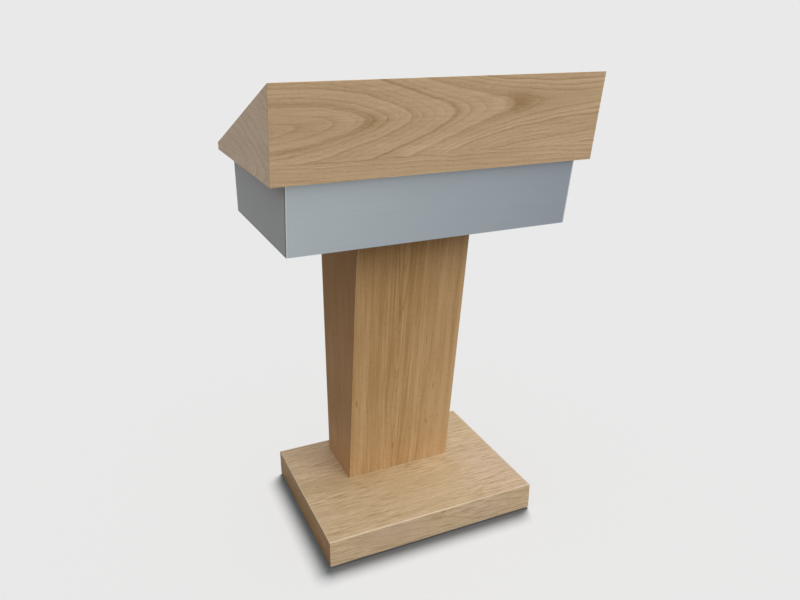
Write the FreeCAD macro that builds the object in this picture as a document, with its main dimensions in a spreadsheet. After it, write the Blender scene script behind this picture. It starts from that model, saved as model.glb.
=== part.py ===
import FreeCAD, Part
import os

import Sketcher
from FreeCAD import Placement, Rotation, Vector

# Lectern: a wedge-shaped head with a sloping reading board, a box with a shelf under it, a hollow
# column and a heavy base. Millimetres and degrees. +Z is up, the audience sits on the -Y side and the
# speaker stands on the +Y side. The origin is the middle of the overall footprint, on the floor.
# The fronts of the head, the box and the column lean forward by one angle; the backs are upright.

# Driving sizes: name, value, meaning
SIZES = [
    ("head_width", 778, "overall width of the head"),
    ("head_depth", 530, "front top edge to rear edge of the head, level"),
    ("reading_slope", 19, "fall of the reading board, degrees"),
    ("front_lean", 8, "forward lean of all the fronts, degrees"),
    ("head_side_overhang", 35, "head past the box, each side"),
    ("head_front_overhang", 16, "head past the box at the front, level"),
    ("head_rear_overhang", 10, "head past the box at the rear"),
    ("box_height", 161, "height of the box"),
    ("column_width", 306, "width of the column"),
    ("column_foot_depth", 170, "depth of the column at its foot"),
    ("column_height", 740, "height of the column"),
    ("column_rear_inset", 73, "back of the column in from the rear of the box"),
    ("base_width", 590, "width of the base"),
    ("base_depth", 450, "depth of the base"),
    ("base_height", 74, "height of the base without its glides"),
    ("base_rear_margin", 42, "base past the back of the column"),
    ("panel_thickness", 18, "veneered boards and box boards"),
    ("laminate_thickness", 1, "silver facing of the box"),
    ("plate_thickness", 30, "plates in the two ends of the column"),
    ("core_lower_thickness", 28, "lower of the two core boards of the base"),
    ("batten_width", 20, "battens and cleats, square"),
    ("housing_depth", 6, "floor boards let into the side boards"),
    ("arris", 0.8, "small flat that breaks the sharp outer edges"),
    ("lipping_width", 6, "solid strip over the rear edges of the head"),
    ("nose_thickness", 5, "rear edge of the bevelled head floor board"),
    ("stop_thickness", 10, "paper stop, along the slope"),
    ("stop_height", 14, "paper stop above the reading board"),
    ("stop_seat", 6, "paper stop in its groove"),
    ("stop_margin", 22, "board left behind the paper stop"),
    ("stop_rounding", 3, "rounding of the paper stop's upper edges"),
    ("stop_clearance", 0.2, "paper stop in its groove, in all"),
    ("batten_end_gap", 5, "reading battens short of the boards at their ends"),
    ("cleat_rear_gap", 20, "side cleats short of the rear of the box"),
    ("glide_diameter", 30, "plastic glides under the base"),
    ("glide_height", 4, "plastic glides under the base"),
    ("glide_inset", 45, "glide centres from the edges of the base"),
    ("coach_diameter", 8, "coach screws, base to column"),
    ("coach_length", 90, "coach screws below the head"),
    ("coach_tip", 8, "pointed end of a coach screw"),
    ("coach_head_width", 13, "hexagon head, across flats"),
    ("coach_head_height", 5.5, "hexagon head"),
    ("coach_sink", 2, "coach screw heads above the underside of the base"),
    ("coach_clearance", 1, "hole in the base over coach screw"),
    ("coach_span_x", 200, "coach screws, centre to centre"),
    ("coach_span_y", 76, "coach screws, centre to centre"),
    ("pilot_clearance", 0.2, "pilot hole over coach screw"),
    ("tip_room", 1, "blind hole beyond the tip of its screw"),
    ("washer_diameter", 24, "washers of the coach screws"),
    ("washer_thickness", 2, "washers of the coach screws"),
    ("washer_clearance", 2, "counterbore over washer"),
    ("bolt_diameter", 8, "countersunk bolts, box to column"),
    ("bolt_length", 40, "bolts, overall"),
    ("bolt_head", 16, "diameter of the bolt heads"),
    ("bolt_sink", 0.5, "bolt heads below the shelf"),
    ("bolt_clearance", 1, "hole in the shelf over bolt"),
    ("bolt_span", 200, "bolts, centre to centre"),
    ("key_width", 5, "hexagon socket of the bolts, across flats"),
    ("key_depth", 3, "hexagon socket of the bolts"),
    ("insert_diameter", 12, "insert nuts in the column's head plate"),
    ("insert_length", 25, "insert nuts in the column's head plate"),
    ("insert_clearance", 0.2, "hole in the plate over insert nut"),
    ("thread_clearance", 0.2, "bore of an insert nut over bolt"),
    ("screw_diameter", 4.5, "wood screws, box to head"),
    ("screw_head", 9, "diameter of the screw heads"),
    ("screw_length", 30, "wood screws, overall"),
    ("screw_tip", 5, "pointed end of a wood screw"),
    ("screw_clearance", 0.3, "screw hole over screw"),
    ("screw_margin", 60, "screws from the ends of a cleat"),
]

# Places that follow from the sizes: name, formula, meaning
PLACES = [
    ("lean", "=tan(sizes.front_lean)", "forward run of a front per unit of rise"),
    ("lean_run", "=1 / cos(sizes.front_lean)", "level run across a leaning board per unit of thickness"),
    ("fall", "=tan(sizes.reading_slope)", "fall of the reading board per unit of run"),
    ("slope_cos", "=cos(sizes.reading_slope)", "cosine of the slope"),
    ("slope_sin", "=sin(sizes.reading_slope)", "sine of the slope"),
    ("base_bottom", "=sizes.glide_height", "underside of the base"),
    ("core_seam", "=base_bottom + sizes.core_lower_thickness", "between the two core boards"),
    ("base_top", "=base_bottom + sizes.base_height", "top of the base"),
    ("core_top", "=base_top - sizes.panel_thickness", "underside of the base's top board"),
    ("column_top", "=base_top + sizes.column_height", "top of the column, underside of the box"),
    ("shelf", "=column_top + sizes.panel_thickness", "upper face of the box floor"),
    ("box_top", "=column_top + sizes.box_height", "top of the box, underside of the head"),
    ("cleat_bottom", "=box_top - sizes.batten_width", "underside of the cleats"),
    ("floor_top", "=box_top + sizes.panel_thickness", "upper face of the head floor board"),
    ("head_rear_top", "=box_top + sizes.panel_thickness / slope_cos", "rear edge of the reading slope"),
    ("head_top", "=head_rear_top + sizes.head_depth * fall", "front top edge of the head"),
    ("head_rear", "=sizes.head_depth / 2", "rear face of the head"),
    ("head_front", "=-sizes.head_depth / 2 + lean * (head_top - box_top)", "front of the head at its foot"),
    ("box_rear", "=head_rear - sizes.head_rear_overhang", "rear of the box"),
    ("box_front", "=head_front + sizes.head_front_overhang + lean * sizes.box_height", "front of the box"),
    ("column_rear", "=box_rear - sizes.column_rear_inset", "back of the column"),
    ("column_front", "=column_rear - sizes.column_foot_depth", "front of the column at its foot"),
    ("column_inner_rear", "=column_rear - sizes.panel_thickness", "inner face of the column's back"),
    ("base_rear", "=column_rear + sizes.base_rear_margin", "rear face of the base"),
    ("base_front", "=base_rear - sizes.base_depth", "front face of the base"),
    ("base_middle", "=(base_front + base_rear) / 2", "middle of the base"),
    ("foot_middle", "=(column_front + column_rear) / 2", "middle of the column at its foot"),
    ("crown_middle", "=foot_middle - lean * sizes.column_height / 2", "middle of the column at its top"),
    ("head_half", "=sizes.head_width / 2", "half width of the head"),
    ("head_inner", "=head_half - sizes.panel_thickness", "inner face of the head's sides"),
    ("box_half", "=head_half - sizes.head_side_overhang", "half width of the box"),
    ("box_board", "=box_half - sizes.laminate_thickness", "outer face of the box boards"),
    ("box_inner", "=box_board - sizes.panel_thickness", "inner face of the box's sides"),
    ("column_half", "=sizes.column_width / 2", "half width of the column"),
    ("column_inner", "=column_half - sizes.panel_thickness", "inner face of the column's sides"),
    ("base_half", "=sizes.base_width / 2", "half width of the base"),
    ("washer_bottom", "=base_bottom + sizes.coach_sink + sizes.coach_head_height", "under the washers"),
    ("washer_seat", "=washer_bottom + sizes.washer_thickness", "top of the washers"),
    ("bolt_cone", "=(sizes.bolt_head - sizes.bolt_diameter) / 2", "height of a bolt's cone"),
    ("screw_cone", "=(sizes.screw_head - sizes.screw_diameter) / 2", "height of a screw's cone"),
]


def grid(xs, ys):
    """Every pairing of two lists of expressions."""
    return [(x, y) for x in xs for y in ys]


def spread(middle, span):
    """Two expressions, half a span each side of a middle."""
    return [f"{middle} - {span} / 2", f"{middle} + {span} / 2"]


# Expressions used in many places
THICKNESS = "sizes.panel_thickness"
BATTEN = "sizes.batten_width"
ARRIS = "sizes.arris"
COACH_PLACES = grid(spread("0", "sizes.coach_span_x"), spread("places.foot_middle", "sizes.coach_span_y"))
COACH_HOLE = "sizes.coach_diameter + sizes.coach_clearance"
BOLT_PLACES = grid(spread("0", "sizes.bolt_span"), ["places.crown_middle"])
SCREW_HOLE = "sizes.screw_diameter + sizes.screw_clearance"
SCREW_SINK = "sizes.screw_head + sizes.screw_clearance"

# How far the outline of a cut runs past the board that it cuts, and how near counts as touching
PAST = "1"
FAR_PAST = "20"
NEAR = 0.01

# Leaning fronts: the front at the foot, and the height of the foot
HEAD_FRONT = ("places.head_front", "places.box_top")
BOX_FRONT = ("places.box_front", "places.column_top")
COLUMN_FRONT = ("places.column_front", "places.base_top")

doc = FreeCAD.newDocument("lectern")


def fill_sheet(name, rows):
    """Make a spreadsheet of named cells and return it."""
    sheet = doc.addObject("Spreadsheet::Sheet", name)
    for row, (alias, value, meaning) in enumerate(rows, start=1):
        sheet.set(f"A{row}", alias)
        sheet.set(f"B{row}", str(value))
        sheet.setAlias(f"B{row}", alias)
        sheet.set(f"C{row}", meaning)
    doc.recompute()
    return sheet


fill_sheet("sizes", SIZES)
places_sheet = fill_sheet("places", PLACES)


def number(expression):
    """The present value of an expression."""
    return float(places_sheet.evalExpression(expression))


def new_body(name):
    """One piece of the lectern, named as its file."""
    body = doc.addObject("PartDesign::Body", name)
    body.Label = name
    return body


def origin_part(body, role):
    """An origin plane or axis of the body."""
    return next(item for item in body.Origin.OriginFeatures if item.Role == role)


def new_sketch(body, plane, offset="0"):
    """An empty sketch on an origin plane, moved along the plane's normal."""
    sketch = body.newObject("Sketcher::SketchObject", "sketch")
    sketch.AttachmentSupport = (origin_part(body, plane), [""])
    sketch.MapMode = "FlatFace"
    sketch.setExpression("AttachmentOffset.Base.z", offset)
    return sketch


def lean_sketch(body, leaning):
    """An empty sketch square to a leaning front: X runs along the face and Y goes straight in from it."""
    front, foot = leaning
    sketch = new_sketch(body, "XY_Plane", foot)
    sketch.AttachmentOffset = Placement(Vector(0, 0, 0), Rotation(Vector(1, 0, 0), 1))
    sketch.setExpression("AttachmentOffset.Base.y", front)
    sketch.setExpression("AttachmentOffset.Rotation.Angle", "sizes.front_lean")
    return sketch


def pin(sketch, geometry, point, x_place, y_place):
    """Tie one point of a sketch to two expressions."""
    for kind, place in (("DistanceX", x_place), ("DistanceY", y_place)):
        constraint = sketch.addConstraint(Sketcher.Constraint(kind, -1, 1, geometry, point, number(place)))
        sketch.setExpression(f"Constraints[{constraint}]", place)


def add_polygon(sketch, corners):
    """A closed outline; each corner is a pair of expressions."""
    points = [Vector(number(x), number(y), 0) for x, y in corners]
    first = sketch.GeometryCount
    count = len(corners)
    for index in range(count):
        sketch.addGeometry(Part.LineSegment(points[index], points[(index + 1) % count]), False)
    for index in range(count):
        following = first + (index + 1) % count
        sketch.addConstraint(Sketcher.Constraint("Coincident", first + index, 2, following, 1))
    for index, (x_place, y_place) in enumerate(corners):
        pin(sketch, first + index, 1, x_place, y_place)


def add_circles(sketch, centres, diameter):
    """Circles of one diameter; each centre is a pair of expressions."""
    size = number(diameter)
    for x_place, y_place in centres:
        centre = Vector(number(x_place), number(y_place), 0)
        circle = sketch.addGeometry(Part.Circle(centre, Vector(0, 0, 1), size / 2), False)
        pin(sketch, circle, 3, x_place, y_place)
        constraint = sketch.addConstraint(Sketcher.Constraint("Diameter", circle, size))
        sketch.setExpression(f"Constraints[{constraint}]", diameter)


def pad(body, sketch, length):
    """Extrude a sketch along its normal."""
    feature = body.newObject("PartDesign::Pad", "pad")
    feature.Profile = sketch
    feature.setExpression("Length", length)
    doc.recompute()
    return feature


def board(name, x_start, x_length, corners):
    """A board drawn in side view, each corner a Y and a Z, and extruded along X."""
    body = new_body(name)
    sketch = new_sketch(body, "YZ_Plane", x_start)
    add_polygon(sketch, corners)
    pad(body, sketch, x_length)
    return body


def cut_through(body, sketch, outlines):
    """Cut outlines right through the body, both ways from the sketch."""
    for corners in outlines:
        add_polygon(sketch, corners)
    feature = body.newObject("PartDesign::Pocket", "cut")
    feature.Profile = sketch
    feature.Type = "ThroughAll"
    feature.Midplane = True
    doc.recompute()


def drill(body, offset, centres, diameter, depth, upward):
    """Upright round holes from a level face; depth None goes right through."""
    sketch = new_sketch(body, "XY_Plane", offset)
    add_circles(sketch, centres, diameter)
    feature = body.newObject("PartDesign::Pocket", "holes")
    feature.Profile = sketch
    feature.Reversed = upward
    if depth is None:
        feature.Type = "ThroughAll"
    else:
        feature.setExpression("Length", depth)
    doc.recompute()


def sunk_holes(body, offset, centres, diameter, sunk_diameter, sunk_depth, upward):
    """Upright through holes, counterbored to a depth, or countersunk if the depth is None."""
    sketch = new_sketch(body, "XY_Plane", offset)
    add_circles(sketch, centres, diameter)
    doc.recompute()
    feature = body.newObject("PartDesign::Hole", "sunk_holes")
    feature.Profile = sketch
    doc.recompute()
    feature.DepthType = "ThroughAll"
    feature.Reversed = upward
    feature.setExpression("Diameter", diameter)
    if sunk_depth is None:
        feature.HoleCutType = "Countersink"
        feature.HoleCutCountersinkAngle = 90
    else:
        feature.HoleCutType = "Counterbore"
        feature.setExpression("HoleCutDepth", sunk_depth)
    feature.setExpression("HoleCutDiameter", sunk_diameter)
    doc.recompute()


def bind_place(body, x="0", y="0", z="0"):
    """Tie the place of a body to expressions."""
    body.setExpression("Placement.Base.x", x)
    body.setExpression("Placement.Base.y", y)
    body.setExpression("Placement.Base.z", z)


def revolve(body, profile):
    """Turn a profile, each corner a radius and a height, about the body's own Z axis."""
    sketch = new_sketch(body, "XZ_Plane")
    add_polygon(sketch, profile)
    feature = body.newObject("PartDesign::Revolution", "turned")
    feature.Profile = sketch
    feature.ReferenceAxis = (sketch, ["V_Axis"])
    feature.Angle = 360
    doc.recompute()
    return feature


def repeat(body, originals, span_x, span_y=None):
    """Make two of some features a span apart along X, or four if there is a span along Y too."""
    feature = body.newObject("PartDesign::LinearPattern", "pattern")
    feature.Originals = originals
    feature.Direction = (origin_part(body, "X_Axis"), [""])
    feature.setExpression("Length", span_x)
    feature.Occurrences = 2
    if span_y is not None:
        feature.Direction2 = (origin_part(body, "Y_Axis"), [""])
        feature.setExpression("Length2", span_y)
        feature.Occurrences2 = 2
    body.Tip = feature
    doc.recompute()


def hexagon(width):
    """Corners of a hexagon about the sketch origin, from its width across flats."""
    corner = f"{width} / sqrt(3)"
    flat = f"{width} / (2 * sqrt(3))"
    side = f"{width} / 2"
    return [
        (corner, "0"),
        (flat, side),
        (f"-{flat}", side),
        (f"-{corner}", "0"),
        (f"-{flat}", f"-{side}"),
        (flat, f"-{side}"),
    ]


def break_edges(body, wanted):
    """Take the sharpness off the edges whose ends all pass a test."""
    base = body.Tip
    names = []
    for count, edge in enumerate(base.Shape.Edges, start=1):
        if all(wanted(vertex.Point) for vertex in edge.Vertexes):
            names.append(f"Edge{count}")
    feature = body.newObject("PartDesign::Chamfer", "broken_edges")
    feature.Base = (base, names)
    feature.setExpression("Size", ARRIS)
    doc.recompute()


def front_at(leaning, height):
    """Expression for a leaning front at a height."""
    front, foot = leaning
    return f"({front} - places.lean * ({height} - {foot}))"


def behind(leaning, height, depth):
    """Expression for the place a square depth behind a leaning front, at a height."""
    return f"({front_at(leaning, height)} + {depth} * places.lean_run)"


def leaning_layer(leaning, bottom, top, start, end):
    """Side view of a layer of a leaning front, between two square depths."""
    return [
        (behind(leaning, bottom, start), bottom),
        (behind(leaning, bottom, end), bottom),
        (behind(leaning, top, end), top),
        (behind(leaning, top, start), top),
    ]


def board_behind(leaning, bottom, top, depth, rear):
    """Side view of a board from a square depth behind a leaning front to an upright rear."""
    return [
        (behind(leaning, bottom, depth), bottom),
        (rear, bottom),
        (rear, top),
        (behind(leaning, top, depth), top),
    ]


def end_mitres(half):
    """Outlines that mitre both ends of a board that lies behind the X axis and break its corners."""
    outlines = []
    for side in ("-1", "1"):
        outlines.append([
            (f"{side} * ({half} - {ARRIS})", f"-{PAST}"),
            (f"{side} * ({half} - {ARRIS})", "0"),
            (f"{side} * ({half} - {ARRIS} / 2)", f"{ARRIS} / 2"),
            (f"{side} * ({half} - {THICKNESS})", THICKNESS),
            (f"{side} * ({half} + {PAST})", THICKNESS),
            (f"{side} * ({half} + {PAST})", f"-{PAST}"),
        ])
    return outlines


def edge_mitre(side, half):
    """Outline that mitres the edge of a side board to a board that lies behind the X axis."""
    return [
        (f"{side} * ({half} + {PAST})", f"-{PAST}"),
        (f"{side} * ({half} + {PAST})", ARRIS),
        (f"{side} * {half}", ARRIS),
        (f"{side} * ({half} - {ARRIS} / 2)", f"{ARRIS} / 2"),
        (f"{side} * ({half} - {THICKNESS})", THICKNESS),
        (f"{side} * ({half} - {THICKNESS} - {PAST})", THICKNESS),
        (f"{side} * ({half} - {THICKNESS} - {PAST})", f"-{PAST}"),
    ]


def mitred_front(name, leaning, half, top):
    """A leaning front board with mitred ends."""
    corners = leaning_layer(leaning, leaning[1], top, "0", THICKNESS)
    panel = board(name, f"-{half}", f"2 * {half}", corners)
    cut_through(panel, lean_sketch(panel, leaning), end_mitres(half))
    return panel


def mitred_side(name, side, leaning, half, inner, top, rear):
    """An upright side board, mitred to a leaning front board."""
    corners = board_behind(leaning, leaning[1], top, "0", rear)
    start = f"-{half}" if side == "-1" else inner
    panel = board(name, start, THICKNESS, corners)
    cut_through(panel, lean_sketch(panel, leaning), [edge_mitre(side, half)])
    return panel


def build_base():
    """Core boards wrapped in a mitred top board and four mitred rails, on four glides."""
    top = new_body("base_top_board")
    sections = []
    for height, inset in (
        ("places.base_top", ARRIS),
        (f"places.base_top - {ARRIS} / 2", f"{ARRIS} / 2"),
        ("places.core_top", THICKNESS),
    ):
        section = new_sketch(top, "XY_Plane", height)
        add_polygon(section, base_outline(inset))
        sections.append(section)
    feature = top.newObject("PartDesign::AdditiveLoft", "bevelled")
    feature.Profile = sections[0]
    feature.Sections = sections[1:]
    feature.Ruled = True
    doc.recompute()
    drill(top, "places.base_top", COACH_PLACES, COACH_HOLE, None, False)

    build_rail("base_front_rail", "sizes.base_width", 0, "0", "places.base_front")
    build_rail("base_right_rail", "sizes.base_depth", 90, "places.base_half", "places.base_middle")
    build_rail("base_rear_rail", "sizes.base_width", 180, "0", "places.base_rear")
    build_rail("base_left_rail", "sizes.base_depth", 270, "-places.base_half", "places.base_middle")

    upper = new_body("base_core_upper")
    outline = new_sketch(upper, "XY_Plane", "places.core_seam")
    add_polygon(outline, base_outline(THICKNESS))
    pad(upper, outline, "places.core_top - places.core_seam")
    drill(upper, "places.core_top", COACH_PLACES, COACH_HOLE, None, False)

    lower = new_body("base_core_lower")
    outline = new_sketch(lower, "XY_Plane", "places.base_bottom")
    add_polygon(outline, base_outline(THICKNESS))
    pad(lower, outline, "sizes.core_lower_thickness")
    washer_hole = "sizes.washer_diameter + sizes.washer_clearance"
    washer_depth = "places.washer_seat - places.base_bottom"
    sunk_holes(lower, "places.base_bottom", COACH_PLACES, COACH_HOLE, washer_hole, washer_depth, True)

    glides = new_body("floor_glides")
    span_x = "(sizes.base_width - 2 * sizes.glide_inset)"
    span_y = "(sizes.base_depth - 2 * sizes.glide_inset)"
    disc = revolve(glides, [
        ("0", "0"),
        (f"sizes.glide_diameter / 2 - {ARRIS}", "0"),
        ("sizes.glide_diameter / 2", ARRIS),
        ("sizes.glide_diameter / 2", "sizes.glide_height"),
        ("0", "sizes.glide_height"),
    ])
    repeat(glides, [disc], span_x, span_y)
    bind_place(glides, f"-{span_x} / 2", f"places.base_middle - {span_y} / 2")


def base_outline(inset):
    """Corners of the base seen from above, moved in from its edges."""
    left = f"-(places.base_half - {inset})"
    right = f"(places.base_half - {inset})"
    front = f"places.base_front + {inset}"
    rear = f"places.base_rear - {inset}"
    return [(left, front), (right, front), (right, rear), (left, rear)]


def build_rail(name, length, angle, x, y):
    """One rail of the base: outer face on the local XZ plane, mitred at the top and at both ends."""
    rail = board(name, f"-{length} / 2", length, [
        ("0", "places.base_bottom"),
        (THICKNESS, "places.base_bottom"),
        (THICKNESS, "places.core_top"),
        (f"{ARRIS} / 2", f"places.base_top - {ARRIS} / 2"),
        ("0", f"places.base_top - {ARRIS}"),
    ])
    cut_through(rail, new_sketch(rail, "XY_Plane"), end_mitres(f"{length} / 2"))
    rail.Placement = Placement(Vector(0, 0, 0), Rotation(Vector(0, 0, 1), angle))
    bind_place(rail, x, y)


def build_column():
    """Four mitred boards round two end plates, with battens glued along the inner corners."""
    half = "places.column_half"
    inner = "places.column_inner"
    rear = "places.column_rear"
    bottom = "places.base_top"
    top = "places.column_top"

    mitred_front("column_front_panel", COLUMN_FRONT, half, top)
    for name, side in (("column_left_panel", "-1"), ("column_right_panel", "1")):
        panel = mitred_side(name, side, COLUMN_FRONT, half, inner, top, rear)
        rear_mitre = [(x, f"{rear} - ({depth})") for x, depth in edge_mitre(side, half)]
        cut_through(panel, new_sketch(panel, "XY_Plane"), [rear_mitre])
    back_corners = [("0", bottom), (THICKNESS, bottom), (THICKNESS, top), ("0", top)]
    back = board("column_rear_panel", f"-{half}", f"2 * {half}", back_corners)
    cut_through(back, new_sketch(back, "XY_Plane"), end_mitres(half))
    back.Placement = Placement(Vector(0, 0, 0), Rotation(Vector(0, 0, 1), 180))
    bind_place(back, "0", rear)

    foot_top = f"({bottom} + sizes.plate_thickness)"
    crown_bottom = f"({top} - sizes.plate_thickness)"
    inner_rear = "places.column_inner_rear"
    foot = board("column_foot_plate", f"-{inner}", f"2 * {inner}",
                 board_behind(COLUMN_FRONT, bottom, foot_top, THICKNESS, inner_rear))
    drill(foot, bottom, COACH_PLACES, "sizes.coach_diameter + sizes.pilot_clearance",
          "places.washer_seat + sizes.coach_length + sizes.tip_room - places.base_top", True)
    crown = board("column_head_plate", f"-{inner}", f"2 * {inner}",
                  board_behind(COLUMN_FRONT, crown_bottom, top, THICKNESS, inner_rear))
    drill(crown, top, BOLT_PLACES, "sizes.insert_diameter + sizes.insert_clearance", None, False)

    batten_end = f"({THICKNESS} + {BATTEN})"
    front_corners = leaning_layer(COLUMN_FRONT, foot_top, crown_bottom, THICKNESS, batten_end)
    rear_corners = [
        (f"{inner_rear} - {BATTEN}", foot_top),
        (inner_rear, foot_top),
        (inner_rear, crown_bottom),
        (f"{inner_rear} - {BATTEN}", crown_bottom),
    ]
    for side, start in (("left", f"-{inner}"), ("right", f"{inner} - {BATTEN}")):
        board(f"column_batten_front_{side}", start, BATTEN, front_corners)
        board(f"column_batten_rear_{side}", start, BATTEN, rear_corners)


def build_coach_screws():
    """Coach screws with washers, up through the base into the column's foot plate."""
    start_x = "-sizes.coach_span_x / 2"
    start_y = "places.foot_middle - sizes.coach_span_y / 2"
    spans = ("sizes.coach_span_x", "sizes.coach_span_y")
    shank = "sizes.coach_diameter / 2"

    screws = new_body("base_coach_screws")
    outline = new_sketch(screws, "XY_Plane", "-sizes.coach_head_height - sizes.washer_thickness")
    add_polygon(outline, hexagon("sizes.coach_head_width"))
    head = pad(screws, outline, "sizes.coach_head_height")
    stem = revolve(screws, [
        ("0", "-sizes.washer_thickness"),
        (shank, "-sizes.washer_thickness"),
        (shank, "sizes.coach_length - sizes.coach_tip"),
        ("0", "sizes.coach_length"),
    ])
    repeat(screws, [head, stem], *spans)
    bind_place(screws, start_x, start_y, "places.washer_seat")

    washers = new_body("base_washers")
    hole = f"({COACH_HOLE}) / 2"
    ring = revolve(washers, [
        (hole, "0"),
        ("sizes.washer_diameter / 2", "0"),
        ("sizes.washer_diameter / 2", "sizes.washer_thickness"),
        (hole, "sizes.washer_thickness"),
    ])
    repeat(washers, [ring], *spans)
    bind_place(washers, start_x, start_y, "places.washer_bottom")


def build_box_bolts():
    """Countersunk bolts, down through the shelf into insert nuts in the column's head plate."""
    start_x = "-sizes.bolt_span / 2"
    shank = "sizes.bolt_diameter / 2"

    bolts = new_body("box_bolts")
    turned = revolve(bolts, [
        ("0", "0"),
        ("sizes.bolt_head / 2", "0"),
        (shank, "-places.bolt_cone"),
        (shank, "-sizes.bolt_length"),
        ("0", "-sizes.bolt_length"),
    ])
    outline = new_sketch(bolts, "XY_Plane")
    add_polygon(outline, hexagon("sizes.key_width"))
    key = bolts.newObject("PartDesign::Pocket", "socket")
    key.Profile = outline
    key.setExpression("Length", "sizes.key_depth")
    repeat(bolts, [turned, key], "sizes.bolt_span")
    bind_place(bolts, start_x, "places.crown_middle", "places.shelf - sizes.bolt_sink")

    inserts = new_body("box_insert_nuts")
    bore = "(sizes.bolt_diameter + sizes.thread_clearance) / 2"
    sleeve = revolve(inserts, [
        (bore, "0"),
        ("sizes.insert_diameter / 2", "0"),
        ("sizes.insert_diameter / 2", "-sizes.insert_length"),
        (bore, "-sizes.insert_length"),
    ])
    repeat(inserts, [sleeve], "sizes.bolt_span")
    bind_place(inserts, start_x, "places.crown_middle", "places.column_top")


def rebate(side, inner, bottom, top):
    """Outline of the step along the foot of a side board that a floor board is let into."""
    near = f"{side} * ({inner} - {PAST})"
    far = f"{side} * ({inner} + sizes.housing_depth)"
    below = f"{bottom} - {PAST}"
    return [(near, below), (far, below), (far, top), (near, top)]


def build_box():
    """Box with a shelf, open at the rear, its boards faced with a thin sheet on three sides."""
    sheet = "sizes.laminate_thickness"
    back = f"({sheet} + {THICKNESS})"
    bottom = "places.column_top"
    shelf = "places.shelf"
    top = "places.box_top"
    rear = "places.box_rear"
    half = "places.box_half"
    outer = "places.box_board"
    inner = "places.box_inner"

    board("box_front_laminate", f"-{half}", f"2 * {half}", leaning_layer(BOX_FRONT, bottom, top, "0", sheet))
    board("box_front_panel", f"-{outer}", f"2 * {outer}", leaning_layer(BOX_FRONT, bottom, top, sheet, back))
    for name, side, sheet_start, board_start in (
        ("left", "-1", f"-{half}", f"-{outer}"),
        ("right", "1", outer, inner),
    ):
        sheet_corners = board_behind(BOX_FRONT, bottom, top, sheet, rear)
        board(f"box_{name}_laminate", sheet_start, sheet, sheet_corners)
        panel_corners = board_behind(BOX_FRONT, bottom, top, back, rear)
        panel = board(f"box_{name}_panel", board_start, THICKNESS, panel_corners)
        cut_through(panel, new_sketch(panel, "XZ_Plane"), [rebate(side, inner, bottom, shelf)])

    floor_half = f"({inner} + sizes.housing_depth)"
    floor = board("box_floor_panel", f"-{floor_half}", f"2 * {floor_half}",
                  board_behind(BOX_FRONT, bottom, shelf, back, rear))
    sunk_holes(floor, shelf, BOLT_PLACES, "sizes.bolt_diameter + sizes.bolt_clearance",
               "sizes.bolt_head + 2 * sizes.bolt_sink", None, False)

    cleat_bottom = "places.cleat_bottom"
    cleat_rear = f"({behind(BOX_FRONT, cleat_bottom, back)} + {BATTEN})"
    board("box_cleat_front", f"-{inner}", f"2 * {inner}",
          board_behind(BOX_FRONT, cleat_bottom, top, back, cleat_rear))
    return build_side_cleats(cleat_rear)


def build_side_cleats(front):
    """Cleats along the sides of the box and the screws up into the head; gives the screws' places."""
    rear = "(places.box_rear - sizes.cleat_rear_gap)"
    bottom = "places.cleat_bottom"
    inner = "places.box_inner"
    line = f"({inner} - {BATTEN} / 2)"
    ys = [f"{front} + sizes.screw_margin", f"{rear} - sizes.screw_margin"]
    corners = [(front, bottom), (rear, bottom), (rear, "places.box_top"), (front, "places.box_top")]
    for name, start, x in (
        ("box_cleat_left", f"-{inner}", f"-{line}"),
        ("box_cleat_right", f"{inner} - {BATTEN}", line),
    ):
        cleat = board(name, start, BATTEN, corners)
        sunk_holes(cleat, bottom, grid([x], ys), SCREW_HOLE, SCREW_SINK, None, True)

    screws = new_body("cleat_screws")
    shank = "sizes.screw_diameter / 2"
    turned = revolve(screws, [
        ("0", "0"),
        ("sizes.screw_head / 2", "0"),
        (shank, "places.screw_cone"),
        (shank, "sizes.screw_length - sizes.screw_tip"),
        ("0", "sizes.screw_length"),
    ])
    repeat(screws, [turned], f"2 * {line}", f"({ys[1]}) - ({ys[0]})")
    bind_place(screws, f"-{line}", ys[0], bottom)
    return grid([f"-{line}", line], ys)


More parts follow.
